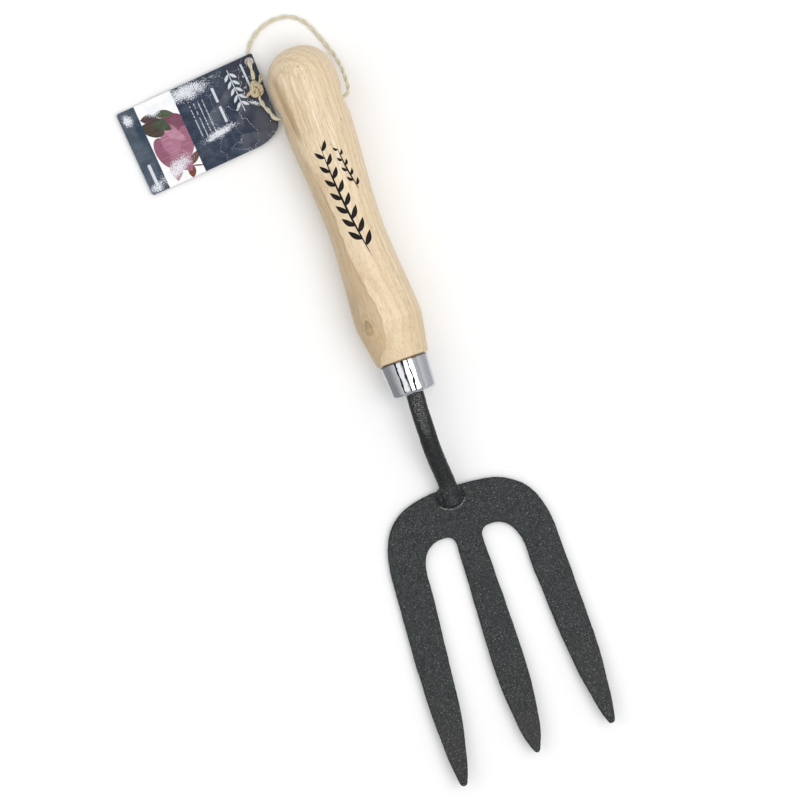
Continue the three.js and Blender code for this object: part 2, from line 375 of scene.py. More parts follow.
def late_wood(wood):
    """The darker part of each year's ring; the rings lie about a pith below and beside the handle."""
    bend = wood.grain((0.05, 0.012, 0.05), 2.0)
    bent_x = wood.scaled(bend, 9.0, wood.x)
    pith_x = wood.scaled(wood.y, 0.03, 21.0)
    radius = wood.length(wood.joined(wood.minus(bent_x, pith_x), wood.math("ADD", wood.z, 26.0)))
    wobble = wood.grain((0.5, 0.03, 0.5), 3.0)
    year = wood.math("FRACT", wood.scaled(wobble, 0.9, wood.times(radius, 0.42)))
    return wood.times(wood.step(year, 0.3, 0.9), wood.step(year, 1.0, 0.93))


def dark_strip(wood, colour, streaks):
    """The darker wood down the left side, with a browner rim along its edge."""
    (low_y, high_y), (left_x, right_x) = DARK_WOOD_Y, DARK_WOOD_X
    along = wood.math("DIVIDE", wood.minus(wood.y, low_y), high_y - low_y)
    edge = wood.scaled(wood.curve(along, DARK_WOOD_EDGE), right_x - left_x, left_x)
    ripple = wood.grain((0.0, 0.2, 0.0), 1.0)
    edge = wood.math("ADD", wood.about_half(ripple, 1.6), edge)
    inside = wood.minus(edge, wood.x)
    dark = wood.times(wood.step(inside, 0.1, 0.9), wood.step(wood.z, AXIS_Z - 9, AXIS_Z - 2),
                      wood.step(wood.y, 215.0, 130.0))
    tone = wood.mix(wood.step(streaks, 0.3, 0.7), srgb(184, 158, 122), srgb(206, 183, 149))
    colour = wood.tint(colour, 0.85, tone, dark)
    return wood.tint(colour, 0.36, srgb(160, 130, 92), dark, wood.step(inside, 1.6, 0.6))


def knot_mark(wood, colour, streaks):
    """A small knot: a drop, pointed towards the butt, with a dark skin round a paler heart."""
    x = wood.minus(wood.x, KNOT_MARK[0])
    y = wood.minus(wood.y, KNOT_MARK[1])
    narrowing = wood.scaled(y, 0.06, 0.56)
    distance = wood.length(wood.joined(wood.times(x, narrowing), wood.times(y, 0.26)))
    distance = wood.math("ADD", distance, wood.about_half(streaks, 0.3))
    on_top = wood.step(wood.z, AXIS_Z, AXIS_Z + 4)
    tone = wood.mix(wood.step(distance, 0.72, 0.4), srgb(136, 108, 68), srgb(163, 136, 95))
    colour = wood.tint(colour, 0.68, tone, wood.step(distance, 1.0, 0.8), on_top)
    ring = wood.times(wood.step(distance, 1.9, 1.6), wood.step(distance, 1.2, 1.5))
    return wood.tint(colour, 0.2, srgb(170, 140, 98), ring, on_top)


def bulb_streak(wood, colour, streaks):
    """A brown streak down the bulb's left side."""
    middle = wood.scaled(wood.y, STREAK_SLOPE, STREAK_X)
    beside = wood.math("ABSOLUTE", wood.minus(wood.x, middle))
    beside = wood.math("ADD", wood.about_half(streaks, 1.8), beside)
    return wood.tint(colour, 0.62, srgb(160, 128, 88), wood.step(beside, 1.8, 0.3),
                     wood.step(wood.z, AXIS_Z - 4, AXIS_Z + 1),
                     wood.step(wood.y, *STREAK_LOW), wood.step(wood.y, *STREAK_HIGH))


def wood_finish():
    """Pale ash with a fine grain, pores and flecks, and painted shade on the taper below the arris, which
    is tinted darker and a little yellower.
    """
    wood = Finish("ash", Coat_Weight=0.12, Coat_Roughness=0.3)
    streaks = wood.grain((1.5, 0.03, 1.5), 5.0, 0.68)
    broad = wood.grain((0.16, 0.014, 0.16), 2.0)
    colour = wood.mix(wood.step(streaks, 0.34, 0.66), srgb(211, 188, 152), srgb(242, 225, 196))
    colour = wood.mix(wood.step(broad, 0.38, 0.66), colour, srgb(229, 208, 175))
    colour = wood.tint(colour, 0.36, srgb(199, 170, 129), late_wood(wood))
    colour = dark_strip(wood, colour, streaks)
    colour = knot_mark(wood, colour, streaks)
    colour = bulb_streak(wood, colour, streaks)
    # Painted shade: the taper below the arris is tinted darker, so that the light changes sharply at the
    # arris.
    taper = wood.step(wood.y, ARRIS_Y + 0.4, ARRIS_Y - 0.3)
    colour = wood.tint(colour, 0.3, srgb(214, 186, 144), taper)

    pore = wood.step(wood.grain((5.0, 0.22, 5.0), 2.0, 0.6), 0.56, 0.66)
    colour = wood.tint(colour, 0.5, srgb(160, 131, 94), pore)
    distance, chance = wood.cells(wood.moved(wood.place, scale=(1.0, 0.3, 1.0)), 0.3)
    fleck = wood.times(wood.step(distance, 0.085, 0.04), wood.step(chance, 0.5, 0.55))
    colour = wood.tint(colour, 0.75, srgb(104, 82, 55), fleck)
    patch = wood.step(wood.grain((0.12, 0.05, 0.12), 2.0), 0.5, 0.75)
    wood.set("Base Color", wood.tint(colour, 0.2, srgb(222, 188, 146), patch))
    wood.set("Roughness", wood.scaled(streaks, 0.16, 0.36))
    wood.bump(wood.minus(streaks, wood.times(pore, 0.6)), 0.35, 0.06)
    return wood.material


def ink_finish():
    """Black print on the grain, worn through in small spots."""
    ink = Finish("ink", Roughness=0.55, Specular_IOR_Level=0.2)
    wear_and_glare = ink.grain((3.0, 0.8, 3.0), 3.0)
    ink.set("Base Color", ink.mix(ink.step(wear_and_glare, 0.6, 0.78), srgb(16, 13, 13), srgb(88, 72, 56)))
    ink.bump(wear_and_glare, 0.2, 0.03)
    return ink.material


def chrome_finish():
    """Bright plating, drawn slightly wavy along its length, with a dull brown line by the wood."""
    chrome = Finish("chrome", Metallic=1.0)
    waves = chrome.grain((0.26, 0.2, 0.26), 1.0, 0.4)
    dents = chrome.noise(chrome.place, 0.45, 1.0)
    scuffs_and_glare = chrome.grain((1.2, 6.0, 1.2), 4.0, 0.65)
    colour = chrome.mix(chrome.step(scuffs_and_glare, 0.35, 0.75), srgb(210, 212, 215), srgb(192, 195, 200))
    wavy_y = chrome.scaled(waves, 0.8, chrome.y)
    seam = chrome.step(wavy_y, ferrule_high[1] - 0.5, ferrule_high[1] - 0.05)
    chrome.set("Base Color", chrome.tint(colour, 0.75, srgb(122, 100, 70), seam))
    chrome.set("Roughness", chrome.scaled(scuffs_and_glare, 0.05, 0.012))
    chrome.bump(chrome.math("ADD", waves, chrome.times(dents, 0.34)), 1.0, 0.16)
    chrome.bump(scuffs_and_glare, 0.05, 0.004)
    return chrome.material


def flakes(steel, colour, on_neck):
    """Pale flakes of three sizes in the coat, fainter on the neck."""
    on_head = steel.scaled(on_neck, -0.7, 1.0)
    for scale, size, rarity, share in FLAKES:
        distance, chance = steel.cells(steel.place, scale)
        flake = steel.step(distance, size, size * 0.5)
        some = steel.step(chance, rarity, rarity + 0.03)
        colour = steel.tint(colour, share, srgb(186, 192, 190), flake, some, on_head)
    return colour


def painted_weld_highlight(steel, colour, fine):
    """Painted highlight: a broken pale line on the head's face, round the weld's lower side, where the
    light catches the plate beside the bead.
    """
    shift = [-centre / size for centre, size in zip(WELD_CENTRE[:2], WELD_SIZE[:2])]
    scale = [1 / size for size in WELD_SIZE[:2]]
    flat = steel.joined(steel.x, steel.y)
    distance = steel.length(steel.moved(flat, shift=(*shift, 0), scale=(*scale, 1)))
    return steel.tint(colour, 0.7, srgb(186, 190, 190),
                      steel.step(distance, 0.98, 1.04), steel.step(distance, 1.17, 1.1),
                      steel.step(steel.y, WELD_CENTRE[1] - 2.0, WELD_CENTRE[1] - 3.6),
                      steel.step(fine, 0.5, 0.55), steel.step(steel.z, 0.9, 1.6))


def steel_finish():
    """Charcoal hammertone: a pebbled coat, darker on the neck and browner towards the tips, with painted
    highlights along the neck's top and round the weld.
    """
    steel = Finish("hammertone", Specular_IOR_Level=0.3)
    pebbles = steel.noise(steel.place, 0.85, 3.0, 0.62)
    fine = steel.noise(steel.place, 3.6, 3.0, 0.6)
    clouds = steel.noise(steel.place, 0.07, 3.0)
    colour = steel.mix(steel.step(pebbles, 0.34, 0.68), srgb(8, 10, 10), srgb(43, 48, 49))
    colour = steel.tint(colour, 0.45, srgb(31, 34, 38), steel.step(clouds, 0.4, 0.65))
    tips = steel.times(steel.step(steel.y, -50.0, -112.0), steel.step(clouds, 0.3, 0.6))
    colour = steel.tint(colour, 0.5, srgb(50, 45, 41), tips)
    colour = steel.tint(colour, 0.5, srgb(78, 85, 86), steel.step(fine, 0.5, 0.68))
    on_neck = steel.step(steel.y, 8.0, 13.0)
    colour = steel.tint(colour, 0.55, srgb(12, 13, 13), on_neck)
    colour = flakes(steel, colour, on_neck)
    # Painted highlight: pale specks along the top of the neck's straight part, where the light catches it.
    painted_crest_highlight = steel.times(steel.step(steel.z, AXIS_Z + 2.5, AXIS_Z + 3.5), steel.step(steel.y, 27.0, 34.0))
    colour = steel.tint(colour, 0.8, srgb(176, 179, 178), painted_crest_highlight, steel.step(fine, 0.56, 0.61))
    # Painted highlight round the weld's lower side.
    steel.set("Base Color", painted_weld_highlight(steel, colour, fine))
    steel.set("Roughness", steel.scaled(fine, 0.25, 0.33))
    steel.bump(pebbles, 0.85, 0.42)
    steel.bump(fine, 0.5, 0.1)
    return steel.material


def jute_finish(name, light, dark):
    """Natural fibre: pale straw with darker flecks and a fine ridged surface."""
    jute = Finish(name, Roughness=0.85, Sheen_Weight=0.25, Sheen_Roughness=0.5)
    fibre = jute.grain((4.0, 1.6, 4.0), 4.0, 0.7)
    patches = jute.step(jute.noise(jute.place, 0.22, 2.0), 0.45, 0.7)
    colour = jute.mix(jute.step(fibre, 0.34, 0.64), dark, light)
    jute.set("Base Color", jute.tint(colour, 0.3, srgb(226, 221, 196), patches))
    jute.bump(fibre, 0.7, 0.12)
    return jute.material


class CardFinish(Finish):
    """The label's print. Its masks are drawn in the card's own plane, from its hole, in mm."""

    def __init__(self, name, **constants):
        super().__init__(name, **constants)
        self.flat = self.joined(self.x, self.y)

    def local(self, centre, turn, size):
        """The card's plane seen from a shape's centre, in half lengths and half widths."""
        half = (size[0] / 2, size[1] / 2, 1)
        return self.moved(self.flat, (*centre, 0), turn, half, vector_type="TEXTURE")

    def leaf(self, centre, turn, size, soft=0.12):
        x, y, _ = self.split(self.local(centre, turn, size))
        half_width = self.minus(1.0, self.times(x, x))
        return self.step(self.minus(half_width, self.math("ABSOLUTE", y)), 0.0, soft)

    def oval(self, centre, turn, size, inner=0.0):
        return self.step(self.length(self.local(centre, turn, size)), 1.0, inner)

    def bar(self, x, top, bottom, width):
        """A straight band across the card at x, from top to bottom."""
        beside = self.math("ABSOLUTE", self.minus(self.x, x))
        return self.times(self.step(beside, width / 2, width / 2 - 0.15),
                          self.step(self.y, top, top - 0.3), self.step(self.y, bottom, bottom + 0.3))

    def any_of(self, masks):
        """1 where any of the masks is 1."""
        total = masks[0]
        for mask in masks[1:]:
            total = self.math("MAXIMUM", total, mask)
        return total


def printed_slate(card, mottle):
    """The ground of the print, with a bluer band at its far end."""
    slate = card.mix(card.step(mottle, 0.35, 0.7), srgb(36, 46, 64), srgb(58, 70, 90))
    slate = card.mix(card.step(card.x, -22.0, -4.0), slate, srgb(32, 38, 56))
    band = card.mix(card.step(mottle, 0.3, 0.7), srgb(32, 48, 66), srgb(52, 70, 90))
    return slate, card.mix(card.step(card.x, PANEL[0] + 0.1, PANEL[0] - 0.1), slate, band)


def picture_panel(card, colour, mottle):
    """A blossom with leaves on a white panel."""
    veins = card.noise(card.moved(card.flat, turn=35, scale=(0.25, 1.6, 1)), 1.0, 3.0)
    picture = card.mix(card.step(mottle, 0.3, 0.8), srgb(240, 240, 240), srgb(252, 252, 252))
    for shape, centre, turn, size, tone, shade in BLOSSOM:
        petal = card.mix(card.step(veins, 0.3, 0.7), srgb(*shade), srgb(*tone))
        mask = card.leaf(centre, turn, size) if shape == "leaf" else card.oval(centre, turn, size, 0.93)
        picture = card.mix(mask, picture, petal)
    panel = card.times(card.step(card.x, PANEL[0] - 0.1, PANEL[0] + 0.1),
                       card.step(card.x, PANEL[1] + 0.1, PANEL[1] - 0.1))
    return card.mix(panel, colour, picture)


def printed_marks(card, colour):
    """Broken lines of small print, plain bars, and a leaf sprig."""
    words = card.step(card.noise(card.moved(card.flat, scale=(0.6, 1.1, 1)), 1.0, 2.0), 0.42, 0.5)
    small = card.any_of([card.bar(x, *SMALL_PRINT) for x in SMALL_PRINT_X])
    colour = card.tint(colour, 0.7, srgb(214, 220, 228), small, words)
    marks = [card.bar(*bar) for bar in PRINTED_BARS]
    marks.append(card.bar(*SPRIG_STEM))
    for y in SPRIG_LEAVES_Y:
        for side in (-1, 1):
            centre = (SPRIG_STEM[0] + side * 1.5, y - 1.0)
            marks.append(card.leaf(centre, 90 + side * 42, (3.9, 1.35)))
    return card.tint(colour, 0.85, srgb(216, 222, 230), card.any_of(marks))


def glare_and_creases(card, patchy):
    """Painted glare: speckled pale patches where the light glints off the glossy film; and fine whitened
    creases in the end by the hole.
    """
    speck = card.noise(card.flat, 2.1, 4.0, 0.72)
    # Places of painted glare, where the light glints off the film.
    scuffs_and_glare = card.any_of([card.oval(centre, turn, size) for centre, turn, size in GLARE_PLACES])
    scuffs_and_glare = card.math("ADD", scuffs_and_glare, card.about_half(patchy, 0.7))
    level = card.scaled(scuffs_and_glare, -0.36, 0.74)
    painted_glare = card.step(card.minus(speck, level), 0.0, 0.04)
    winding = card.minus(card.noise(card.flat, 0.09, 3.0, 0.55, 0.4), 0.5)
    crease = card.times(card.step(card.math("ABSOLUTE", winding), 0.0045, 0.0015),
                        card.step(speck, 0.42, 0.55), card.step(card.x, -34.0, -20.0))
    return card.math("MAXIMUM", painted_glare, crease)


def card_finish():
    """Print under a glossy film on the front, with painted glare and whitened creases, and plain slate on
    the back.
    """
    card = CardFinish("printed_card", Specular_IOR_Level=0.3, Coat_Weight=0.12, Coat_Roughness=0.15)
    mottle = card.noise(card.flat, 0.35, 4.0, 0.6)
    patchy = card.noise(card.flat, 0.3, 3.0)
    slate, colour = printed_slate(card, mottle)
    colour = picture_panel(card, colour, mottle)
    colour = printed_marks(card, colour)
    wear_and_glare = glare_and_creases(card, patchy)
    # Painted glare and whitened creases: the print is tinted near white there.
    colour = card.tint(colour, 0.85, srgb(236, 240, 246), wear_and_glare)
    facing = card.split(card.coordinates.outputs["Normal"])[2]
    card.set("Base Color", card.mix(card.step(facing, -0.2, 0.2), slate, colour))
    card.set("Roughness", card.scaled(wear_and_glare, 0.35, 0.24))
    card.bump(card.scaled(wear_and_glare, 0.6, patchy), 0.4, 0.12)
    return card.material


# ---------- camera and light

# The view is straight down, turned about the vertical, from far enough to be nearly parallel
CAMERA_TURN = -19.75            # degrees
CAMERA_FIELD = 339.5            # mm across, at the height of the neck
CAMERA_LENS = 200
CAMERA_SENSOR = 36
CAMERA_AIM = (-6.93, 51.68, 8.0)


def make_camera():
    data = bpy.data.cameras.new("camera")
    data.sensor_width = CAMERA_SENSOR
    data.lens = CAMERA_LENS
    camera = new_object("camera", data)
    distance = CAMERA_FIELD * CAMERA_LENS / CAMERA_SENSOR
    camera.location = Vector(CAMERA_AIM) * MM + Vector((0, 0, distance * MM))
    camera.rotation_euler = (0, 0, math.radians(CAMERA_TURN))
    scene.camera = camera


def plain_material(name, shade, roughness):
    """A stage material, which no piece of the object wears."""
    finish = Finish(name, Roughness=roughness)
    finish.set("Base Color", (shade, shade, shade, 1.0))
    return finish.material


def fading_material(name, shade, tall):
    """A grey card that fades to the light of the room at its top."""
    finish = Finish(name, Emission_Strength=1.0)
    finish.set("Base Color", (0.0, 0.0, 0.0, 1.0))
    fade = finish.step(finish.z, tall * 0.45, tall)
    bottom = (shade, shade, shade * 1.04, 1.0)
    finish.set("Emission Color", finish.mix(fade, bottom, (0.8, 0.8, 0.8, 1.0)))
    return finish.material


def stage_sheet(name, corners, material, reflected_only=True):
    """A flat sheet of the stage, which may be seen only in reflections."""
    sheet = new_piece(name, (np.array(corners), [(0, 1, 2, 3)]))
    sheet.data.materials.append(material)
    if reflected_only:
        sheet.visible_camera = False
        sheet.visible_diffuse = False
        sheet.visible_shadow = False
        sheet.visible_transmission = False


def level_corners(x, width, reach, z):
    return [(x + sx * width / 2, sy * reach, z) for sx, sy in ((-1, -1), (1, -1), (1, 1), (-1, 1))]


FLOOR_SIZE = 18000
FLOOR_Z = -0.35                 # just below the beaten back of the head
STRIP_HEIGHT = 700
# Dark gaps between the soft lights overhead: name, lean from the vertical in degrees, width
STRIPS = (("gap_far_left", -46.0, 230), ("gap_left", -11.5, 84), ("gap_right", 15.0, 92))
# Grey cards that darken the ferrule's sides: name, distance from its axis, height, shade
SIDE_CARDS = (("card_left", -28.0, 44.0, 0.34), ("card_right", 28.0, 34.0, 0.56))
SIDE_CARD_REACH = 45            # to either side of the ferrule's middle


def make_stage():
    """A pale floor, with dark strips and grey cards that only reflections see."""
    corners = level_corners(0, FLOOR_SIZE, FLOOR_SIZE / 2, FLOOR_Z)
    stage_sheet("floor", corners, plain_material("floor", 0.93, 0.9), reflected_only=False)
    gap = plain_material("gap", 0.01, 1.0)
    for name, lean, width in STRIPS:
        x = STRIP_HEIGHT * math.tan(math.radians(lean))
        stage_sheet(name, level_corners(x, width, STRIP_HEIGHT, STRIP_HEIGHT), gap)
    middle = (ferrule_low[1] + ferrule_high[1]) / 2
    near, far = middle - SIDE_CARD_REACH, middle + SIDE_CARD_REACH
    for name, x, tall, shade in SIDE_CARDS:
        corners = [(x, near, 0), (x, far, 0), (x, far, tall), (x, near, tall)]
        stage_sheet(name, corners, fading_material(name, shade, tall))


WORLD_STRENGTH = 0.74
WORLD_WHITE = (1.0, 1.0, 1.0, 1.0)
WORLD_LOW_LEFT = (0.34, 0.35, 0.36, 1.0)
WORLD_LOW_RIGHT = (0.62, 0.62, 0.62, 1.0)
# Name, place in metres, size in metres, watts
SOFT_LIGHTS = (
    ("key", (0.45, -0.15, 1.5), 1.2, 11.5),
    ("fill", (-0.9, 0.5, 1.3), 1.4, 4.0),
)


def make_world():
    """White overhead and greyer towards the horizon, most of all on the left."""
    world = bpy.data.worlds.new("studio")
    scene.world = world
    world.use_nodes = True
    studio = Nodes(world.node_tree)
    x, _, z = studio.split(studio.node("TexCoord", {}).outputs["Generated"])
    low = studio.mix(studio.scaled(x, 0.5, 0.5), WORLD_LOW_LEFT, WORLD_LOW_RIGHT)
    background = studio.tree.nodes["Background"]
    studio.put(background.inputs["Color"], studio.mix(studio.step(z, 0.1, 0.85), low, WORLD_WHITE))
    studio.put(background.inputs["Strength"], WORLD_STRENGTH)


def make_lights():
    for name, place, size, power in SOFT_LIGHTS:
        data = bpy.data.lights.new(name, "AREA")
        data.shape = "SQUARE"
        data.size = size
        data.energy = power
        light = new_object(name, data)
        light.location = place
        light.rotation_mode = "QUATERNION"
        light.rotation_quaternion = (-Vector(place)).to_track_quat("-Z", "Y")
    scene.view_settings.view_transform = "Standard"


# ---------- patterns on the handle and the card

# The darker wood's edge runs between these, as (share of the way along Y, share of the way along X)
DARK_WOOD_Y = (60.0, 210.0)
DARK_WOOD_X = (-16.0, 4.0)
DARK_WOOD_EDGE = (
    (0.0, 0.2), (0.073, 0.4), (0.1, 0.58), (0.18, 0.68), (0.28, 0.59), (0.393, 0.49), (0.487, 0.485),
    (0.573, 0.42), (0.667, 0.31), (0.733, 0.28), (0.796, 0.37), (0.877, 0.39), (1.0, 0.2),
)
KNOT_MARK = (-9.2, 84.6)
# The bulb's streak lies about x = slope * y + x, and fades in and out over these y
STREAK_SLOPE, STREAK_X = -0.07, 2.3
STREAK_LOW, STREAK_HIGH = (164, 173), (200, 193)
ARRIS_Y = BUTT_Y - 123.2        # the crisp edge round the handle's lower swell
# Scatter per mm, size, rarity and strength of each size of flake
FLAKES = ((0.75, 0.17, 0.66, 0.5), (1.5, 0.26, 0.58, 0.42), (2.4, 0.3, 0.46, 0.34))

# The card's print, in mm from its hole. The picture's panel lies between these two x
PANEL = (-52.9, -36.0)
# Shape, centre, turn in degrees, length and width, light tone and shade
BLOSSOM = (
    ("leaf", (-38.2, -27.5), 35, (8.5, 3.4), (117, 80, 73), (90, 54, 50)),
    ("leaf", (-41.2, -32.0), 78, (6.5, 3.6), (130, 73, 54), (97, 49, 37)),
    ("leaf", (-37.8, -31.0), -20, (8.0, 0.7), (130, 90, 73), (104, 68, 52)),
    ("oval", (-39.5, -10.5), -35, (13.0, 8.5), (132, 77, 97), (106, 57, 78)),
    ("oval", (-48.5, -20.5), 100, (15.0, 8.0), (153, 97, 120), (130, 78, 99)),
    ("oval", (-39.2, -20.0), 65, (15.5, 8.5), (167, 111, 132), (143, 87, 110)),
    ("leaf", (-47.0, -28.5), 75, (11.0, 6.0), (181, 139, 153), (157, 108, 127)),
    ("leaf", (-43.5, -25.2), 110, (15.0, 8.5), (172, 120, 139), (144, 90, 111)),
    ("oval", (-44.0, -16.2), 80, (13.5, 9.0), (179, 124, 146), (155, 97, 122)),
    ("leaf", (-41.6, -15.0), -50, (11.5, 4.6), (193, 146, 164), (167, 113, 136)),
    ("oval", (-49.4, -9.5), -40, (10.5, 6.0), (80, 71, 61), (61, 50, 45)),
    ("leaf", (-45.2, -8.6), -50, (10.5, 5.0), (77, 87, 64), (50, 61, 45)),
    ("leaf", (-49.0, -4.5), -15, (8.0, 4.4), (90, 68, 70), (68, 47, 52)),
    ("leaf", (-42.5, -5.0), -20, (9.0, 3.8), (85, 94, 70), (56, 66, 49)),
)
# Top, bottom and width of each line of small print
SMALL_PRINT = (-6.2, -22.0, 0.6)
SMALL_PRINT_X = (-31.0, -29.0, -27.0, -25.0)
# X, top, bottom and width
PRINTED_BARS = (
    (-19.2, -3.5, -10.4, 1.3), (-19.2, -12.0, -19.5, 1.3),
    (-57.2, -22.0, -31.5, 1.5), (-3.9, 0.6, -14.5, 1.0),
)
SPRIG_STEM = (-10.2, 0.8, -18.5, 0.5)
SPRIG_LEAVES_Y = (-1.5, -4.7, -7.9, -11.1, -14.3)
# Centre, turn in degrees, length and width of each place of painted glare on the glossy film
GLARE_PLACES = (
    ((-30.0, -0.6), -3, (46.0, 15.0)), ((-47.0, -28.6), 24, (36.0, 14.0)), ((-24.0, -22.4), 6, (32.0, 8.0)),
    ((-57.5, -1.5), 20, (9.0, 12.0)), ((-46.0, -2.0), 0, (16.0, 11.0)), ((-5.0, -17.0), -40, (12.0, 4.0)),
    ((-57.5, -32.5), 24, (14.0, 9.0)),
)


# ---------- the twine and what is on it

TWINE_THICKNESS = 1.7
PLY_RADIUS = 0.47
PLY_OFFSET = 0.41               # of each ply's middle from the twine's
TWIST_PITCH = 9.5
GROUND_CLEARANCE = 0.12

# Offsets from the cross hole in plan, with the height above the ground
TWINE_ROUTE = (
    (-19.8, 12.4, 5.9), (-19.1, 8.4, 8.8), (-17.6, 4.7, 11.6), (-17.1, 3.2, 12.8), (-16.8, 1.97, 13.6),
    (-16, 0.94, 14.3), (-14.75, 0.24, 14.75), (-13.3, 0, 14.9), (-11.5, 0, 14.9), (11.5, 0, 14.9),
    (13.3, 0, 14.9), (14.75, 0.25, 14.75), (16, 0.96, 14.35), (16.8, 2.03, 13.75), (17.1, 3.3, 13),
    (17.4, 6.8, 10.9), (17.4, 10.7, 8.3), (17.1, 14.8, 5.6), (16.2, 19.4, 3.1), (14.5, 24.6, 1.5),
    (12.5, 29.9, 0.98), (10.4, 34.6, 0.95), (7.3, 38.7, 0.95), (3.1, 41.2, 0.95), (-1.9, 41.9, 0.95),
    (-7.1, 41.1, 0.95), (-11.6, 39.1, 0.95), (-15, 36.4, 0.95), (-17.2, 33.6, 0.95), (-18.05, 31.5, 0.95),
    (-18.3, 30.65, 1.05), (-18.5, 29.83, 1.34), (-18.65, 29.1, 1.81), (-18.75, 28.5, 2.43),
    (-18.8, 27.9, 3.04), (-18.85, 27.17, 3.51), (-18.88, 26.35, 3.8), (-18.9, 25.5, 3.9),
    (-19.1, 22.6, 4), (-19.5, 20.5, 4.3),
)
KNOT_CENTRE = (-19.9, 16.5, 5.1)
KNOT_REACH = (2.668, 4.48, 2.0)     # from its centre, across, along and up
# Each tail leaves the knot through these offsets from its centre
TAIL_ROUTES = {
    "twine_tail_long": ((1.2, 1.2, 0.6), (2.5, 2.2, 0.5), (3.4, 3.3, 0.2), (3.9, 4.6, -0.3)),
    "twine_tail_short": ((-1.6, -0.4, 0.3), (-3.1, -1.0, 0.2), (-4.2, -1.4, -0.1), (-5.2, -2.2, -0.6)),
}
DRY_JUTE = srgb(230, 224, 203)
DARK_JUTE = srgb(196, 182, 150)
# Darker jute for the knot and its tails.
KNOT_LIGHT = srgb(232, 218, 184)
KNOT_DARK = srgb(174, 154, 116)


def on_loop(offsets):
    """Offsets from the cross hole in plan, with heights, as places in the frame."""
    return np.array(offsets, float) + (0, CROSS_HOLE[1], 0)


def two_ply(line, ply_radius=PLY_RADIUS, offset=PLY_OFFSET, splay=0.0):
    """Two strands twisted round a line; splay opens them by that much at the far end."""
    sideways, up = sideways_and_up(line)
    along = distances(line)
    open_by = offset + splay * (along / along[-1]) ** 2
    strands = []
    for phase in (0, math.pi):
        turn = 2 * math.pi * along / TWIST_PITCH + phase
        across = np.cos(turn)[:, None] * sideways + np.sin(turn)[:, None] * up
        strands.append(tube(line + open_by[:, None] * across, ply_radius, 10, 0.09))
    return strands


def hairs(line, count, longest, spread=0.8):
    """Loose fibres that leave a line's surface and bend away from it."""
    sideways, up = sideways_and_up(line)
    tangents = unit(np.gradient(line, axis=0))
    made = []
    for _ in range(count):
        at = rng.integers(2, len(line) - 2)
        around = rng.uniform(0, 2 * math.pi)
        out = math.cos(around) * sideways[at] + math.sin(around) * up[at]
        forward = tangents[at] * rng.choice((-1, 1))
        root = line[at] + out * 0.6
        length = rng.uniform(0.4, 1) * longest
        steps = np.linspace(0, 1, 6)[:, None]
        curl = rng.uniform(-0.4, 0.4, 3) * length
        path = root + steps * length * (forward * 0.8 + out * 0.35 * spread) + steps ** 2 * curl * 0.5
        path[:, 2] = np.maximum(path[:, 2], GROUND_CLEARANCE)
        made.append(tube(path, np.linspace(0.045, 0.018, 6), 3))
    return made


def twine_piece(name, shape, finish, node):
    return dress(new_piece(name, shape), "hanging_loop", finish, [node])


def make_knot(finish):
    """An overhand knot is a trefoil: three lobes that pass over and under each other."""
    turn = np.linspace(0, 2 * math.pi, 121)
    wide, deep, lean = 1.8, 0.9, -30
    reach = (wide + deep * np.cos(3 * turn)) * (1 + 0.14 * np.sin(turn + 0.6))
    trefoil = np.column_stack([reach * np.cos(2 * turn), reach * np.sin(2 * turn), deep * np.sin(3 * turn)])
    outside = wide + deep + TWINE_THICKNESS / 2
    squeeze = np.array(KNOT_REACH) / (outside, outside, deep + TWINE_THICKNESS / 2)
    leaning = Matrix.Rotation(math.radians(lean), 3, "Z")
    trefoil = (trefoil @ np.array(leaning).T) * squeeze + on_loop(KNOT_CENTRE)
    shape = joined(two_ply(trefoil, ply_radius=0.62, offset=0.4) + hairs(trefoil, 40, 2.2))
    return twine_piece("knot_overhand", shape, finish, "twine_knot")


def make_tail(node, offsets, finish):
    path = smooth_line(on_loop(np.array(offsets) + KNOT_CENTRE), 20)
    strands = two_ply(path, ply_radius=0.36, offset=0.32, splay=0.25)
    shape = joined(strands + hairs(path, 18, 2.2, spread=1.0))
    return twine_piece(node.replace("twine_", "") + "_frayed", shape, finish, node)


def make_twine():
    line = smooth_line(on_loop(TWINE_ROUTE), 400)
    shape = joined(two_ply(line) + hairs(line, 90, 2.4))
    twine = twine_piece("twine_two_ply", shape, jute_finish("jute", DRY_JUTE, DARK_JUTE), "hanging_twine")
    knotted = jute_finish("jute_knot", KNOT_LIGHT, KNOT_DARK)
    knot = make_knot(knotted)
    tails = [make_tail(node, offsets, knotted) for node, offsets in TAIL_ROUTES.items()]


# ---------- handle

HANDLE_SIDES = 160
CROSS_HOLE_RADIUS = 3.25
COUNTERSINK_RADIUS = 7.0
COUNTERSINK_DEPTH = 4.0
SHOULDER = 140                  # from the butt, where the ferrule starts
TENON_RADIUS = 9.2


def bezier(a, b, c, d, steps):
    t = np.linspace(0, 1, steps + 1)[:, None]
    a, b, c, d = (np.array(point, float) for point in (a, b, c, d))
    return a * (1 - t) ** 3 + 3 * b * t * (1 - t) ** 2 + 3 * c * t ** 2 * (1 - t) + d * t ** 3


def handle_profile():
    """(distance from the butt, radius): dome, bulb, waist, lower swell with a crisp arris, shoulder."""
    radius = handle_high[0]
    dome = bezier((0.02, 0.6), (0, 8), (5, radius), (16.5, radius), 34)
    grip = smooth_line([(16.5, radius), (27, 14.65), (44, 13.9), (61, 12.6), (82, 11.7), (99, 12.7),
                        (116, 14.05), (123, 14.4)], 90, 0)
    neckdown = smooth_line([(123.3, 14.33), (129, 13.35), (SHOULDER - 0.6, 11.5)], 22, 0)
    lip = [(SHOULDER - 0.2, 11.3), (SHOULDER, 10.9), (SHOULDER, TENON_RADIUS), (SHOULDER + 9, TENON_RADIUS)]
    return np.vstack([dome, grip[1:], neckdown, lip])


